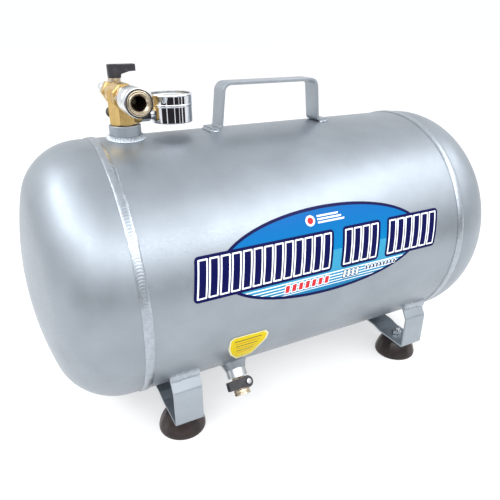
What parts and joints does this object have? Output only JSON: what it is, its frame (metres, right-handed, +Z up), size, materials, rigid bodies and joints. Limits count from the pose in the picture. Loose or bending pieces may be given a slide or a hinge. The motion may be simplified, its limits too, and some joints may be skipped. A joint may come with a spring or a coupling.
{
  "type": "air receiver tank",
  "caption": "Portable horizontal air receiver with dished ends, handle, rubber feet, shut-off valve, quick coupler, gauge, safety valve and drain valve.",
  "frame": {"origin": "on the floor, under the middle of the tank", "axes": "+X along the tank away from the valve set, -Y out of the side with the decal and the quick coupler, +Z up"},
  "size_m": [0.5254, 0.263, 0.3516],
  "materials": {
    "satin_aluminium": "satin, lightly blasted",
    "machined_aluminium": "turned",
    "brass": "cast and machined",
    "nickel_plate": "nickel plated, satin",
    "chrome": "polished",
    "black_coating": "black powder coat",
    "brown_rubber": "moulded",
    "zinc_steel": "bright zinc",
    "clear_glass": "clear",
    "dial_white": "matt",
    "seat_plastic": "matt",
    "decal_blue": "printed film",
    "sticker_yellow": "printed film"
  },
  "bodies": {
    "root": {"shell_barrel": "satin_aluminium", "head_left": "satin_aluminium", "head_right": "satin_aluminium", "girth_weld_left": "satin_aluminium", "girth_weld_right": "satin_aluminium", "port_boss_weld": "satin_aluminium", "drain_boss_weld": "satin_aluminium", "handle": "satin_aluminium", "cradle_left": "satin_aluminium", "cradle_right": "satin_aluminium", "port_boss": "machined_aluminium", "drain_boss": "machined_aluminium", "manifold": "brass", "ball_valve_housing": "brass", "ball_valve_end": "brass", "safety_valve_body": "brass", "drain_valve_housing": "brass", "drain_outlet": "brass", "bourdon_tube": "brass", "stem_gland": "nickel_plate", "plug_nipple": "nickel_plate", "coupler_body": "nickel_plate", "gauge_stem": "chrome", "gauge_case": "chrome", "gauge_bezel": "chrome", "coupler_ring": "black_coating", "foot_left_front": "brown_rubber", "foot_left_back": "brown_rubber", "foot_right_front": "brown_rubber", "foot_right_back": "brown_rubber", "coupler_spring": "zinc_steel", "safety_spring": "zinc_steel", "foot_bolt_left_front": "zinc_steel", "foot_bolt_left_back": "zinc_steel", "foot_bolt_right_front": "zinc_steel", "foot_bolt_right_back": "zinc_steel", "foot_nut_left_front": "zinc_steel", "foot_nut_left_back": "zinc_steel", "foot_nut_right_front": "zinc_steel", "foot_nut_right_back": "zinc_steel", "gauge_glass": "clear_glass", "gauge_dial": "dial_white", "ball_seat_front": "seat_plastic", "ball_seat_back": "seat_plastic", "front_decal": "decal_blue", "caution_sticker": "sticker_yellow"},
    "lever": {"valve_lever": "black_coating", "lever_screw": "zinc_steel", "valve_stem": "nickel_plate", "valve_ball": "nickel_plate"},
    "coupler_sleeve": {"coupler_sleeve": "nickel_plate"},
    "coupler_poppet": {"coupler_poppet": "brass"},
    "gauge_needle": {"gauge_needle": "black_coating"},
    "safety_stem": {"safety_stem": "nickel_plate"},
    "safety_ring": {"safety_pull_ring": "nickel_plate"},
    "drain_lever": {"drain_lever": "black_coating", "drain_lever_screw": "zinc_steel", "drain_stem": "nickel_plate", "drain_ball": "nickel_plate"}
  },
  "joints": [
    {"name": "lever_turn", "type": "hinge", "parent": "root", "child": "lever", "pos_m": [-0.1504, 0.022, 0.3466], "axis": [0, 0, 1], "range_deg": [0, 90]},
    {"name": "sleeve_slide", "type": "slide", "parent": "root", "child": "coupler_sleeve", "axis": [0, 1, 0], "range_m": [0, 0.005], "stiffness_N_per_m": 600, "springref_m": -0.005},
    {"name": "poppet_slide", "type": "slide", "parent": "root", "child": "coupler_poppet", "axis": [0, 1, 0], "range_m": [0, 0.005], "stiffness_N_per_m": 400, "springref_m": -0.004, "deforming": ["coupler_spring"]},
    {"name": "needle_turn", "type": "hinge", "parent": "root", "child": "gauge_needle", "pos_m": [-0.1036, 0, 0.3206], "axis": [0, 0, -1], "range_deg": [0, 270], "stiffness_Nm_per_rad": 0.0002},
    {"name": "safety_pull", "type": "slide", "parent": "root", "child": "safety_stem", "axis": [0, 1, 0], "range_m": [0, 0.003], "stiffness_N_per_m": 1500, "springref_m": -0.003, "deforming": ["safety_spring"]},
    {"name": "ring_swing", "type": "hinge", "parent": "safety_stem", "child": "safety_ring", "pos_m": [-0.1504, 0.03, 0.3081], "axis": [0, 0, 1], "range_deg": [-180, 0]},
    {"name": "drain_turn", "type": "hinge", "parent": "root", "child": "drain_lever", "pos_m": [-0.0817, -0.09907, 0.04095], "axis": [0.2385, -0.7428, 0.6255], "range_deg": [0, 90]}
  ]
}
